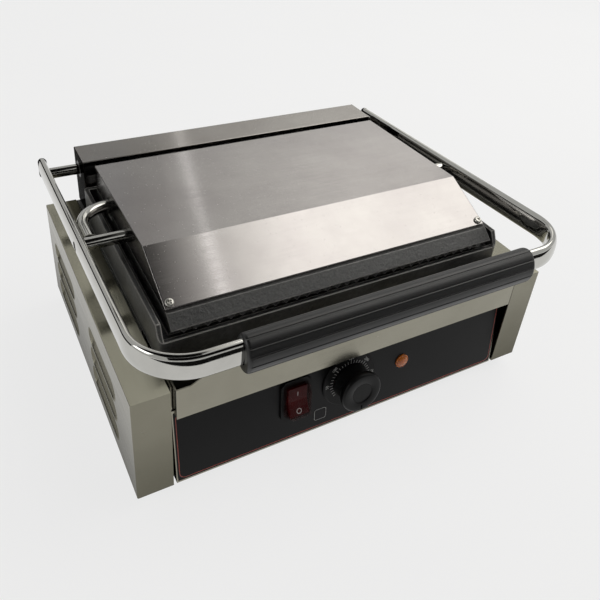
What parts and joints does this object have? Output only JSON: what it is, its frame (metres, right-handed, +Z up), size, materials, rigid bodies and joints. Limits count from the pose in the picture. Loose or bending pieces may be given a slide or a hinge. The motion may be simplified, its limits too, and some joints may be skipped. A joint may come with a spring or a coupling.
{
  "type": "panini press",
  "caption": "Free-standing contact grill: ribbed cast plates, a stainless lid on a swinging U-handle, a tilted control panel and a pull-out drip tray.",
  "frame": {"origin": "on the table under the middle of the outline, between the feet", "axes": "+X to the right as seen from the front, +Y to the back, +Z up; the control panel and handle face -Y"},
  "size_m": [0.4314, 0.3759, 0.2004],
  "materials": {
    "brushed_stainless": "brushed",
    "galvanised_steel": "dull zinc",
    "chromed_steel": "polished chrome plate",
    "zinc_steel": "bright zinc plate",
    "black_cast_iron": "seasoned, sand-cast texture",
    "heater_sheath": "oxidised",
    "oiled_spring_steel": "oiled, dark",
    "copper": "drawn",
    "mineral_board": "fibrous",
    "black_nylon": "moulded",
    "black_phenolic": "moulded",
    "printed_film": "satin film",
    "red_polycarbonate": "gloss",
    "clear_silicone": "clear moulding",
    "amber_polycarbonate": "gloss",
    "white_nylon": "moulded",
    "black_rubber": "moulded"
  },
  "bodies": {
    "base": {"left_shell": "brushed_stainless", "right_shell": "brushed_stainless", "tower_shell": "brushed_stainless", "front_panel": "brushed_stainless", "rear_panel": "brushed_stainless", "base_pan": "galvanised_steel", "left_frame": "galvanised_steel", "right_frame": "galvanised_steel", "lower_clamp": "galvanised_steel", "foot_screws": "zinc_steel", "plate_bolts": "zinc_steel", "lower_clamp_bolts": "zinc_steel", "thermostat_screws": "zinc_steel", "lower_plate": "black_cast_iron", "lower_heater": "heater_sheath", "balance_springs": "oiled_spring_steel", "thermostat_bulb": "copper", "lower_insulation": "mineral_board", "cable_gland": "black_nylon", "switch_body": "black_nylon", "hinge_bushes": "black_nylon", "dial_ring": "black_phenolic", "thermostat_body": "black_phenolic", "control_overlay": "printed_film", "switch_boot": "clear_silicone", "lamp_lens": "amber_polycarbonate", "lamp_body": "white_nylon", "terminal_block": "white_nylon", "feet": "black_rubber", "power_loom": "black_rubber"},
    "handle": {"handle_tube": "chromed_steel", "handle_tail_caps": "black_nylon", "handle_grip": "black_nylon", "hinge_shaft": "chromed_steel", "left_pivot_pin": "chromed_steel", "right_pivot_pin": "chromed_steel", "pin_screws": "zinc_steel", "cable_conduit": "chromed_steel"},
    "upper_press": {"upper_plate": "black_cast_iron", "upper_heater": "heater_sheath", "upper_clamp": "galvanised_steel", "upper_clamp_bolts": "zinc_steel", "upper_insulation": "mineral_board", "top_cover": "brushed_stainless", "cover_screws": "zinc_steel", "pivot_brackets": "galvanised_steel"},
    "dial": {"thermostat_knob": "black_phenolic", "thermostat_stem": "zinc_steel"},
    "rocker": {"switch_rocker": "red_polycarbonate"},
    "tray": {"drip_tray": "brushed_stainless"}
  },
  "joints": [
    {"name": "lid_lift", "type": "hinge", "parent": "base", "child": "handle", "pos_m": [0.00075, 0.16035, 0.1719], "axis": [-1, 0, 0], "range_deg": [0, 80]},
    {"name": "press_tilt", "type": "hinge", "parent": "handle", "child": "upper_press", "pos_m": [0.00075, 0.00949, 0.17822], "axis": [1, 0, 0], "range_deg": [0, 8]},
    {"name": "dial_turn", "type": "hinge", "parent": "base", "child": "dial", "pos_m": [-0.00605, -0.13417, 0.0637], "axis": [0, 0.994, -0.1097], "range_deg": [0, 270]},
    {"name": "rocker_throw", "type": "hinge", "parent": "base", "child": "rocker", "pos_m": [-0.06385, -0.13407, 0.06369], "axis": [1, 0, 0], "range_deg": [0, 18]},
    {"name": "tray_slide", "type": "slide", "parent": "base", "child": "tray", "axis": [0, -1, 0], "range_m": [0, 0.065]}
  ],
  "couplings": [
    {"joint": "press_tilt", "follows": "lid_lift", "ratio": 0.1}
  ]
}
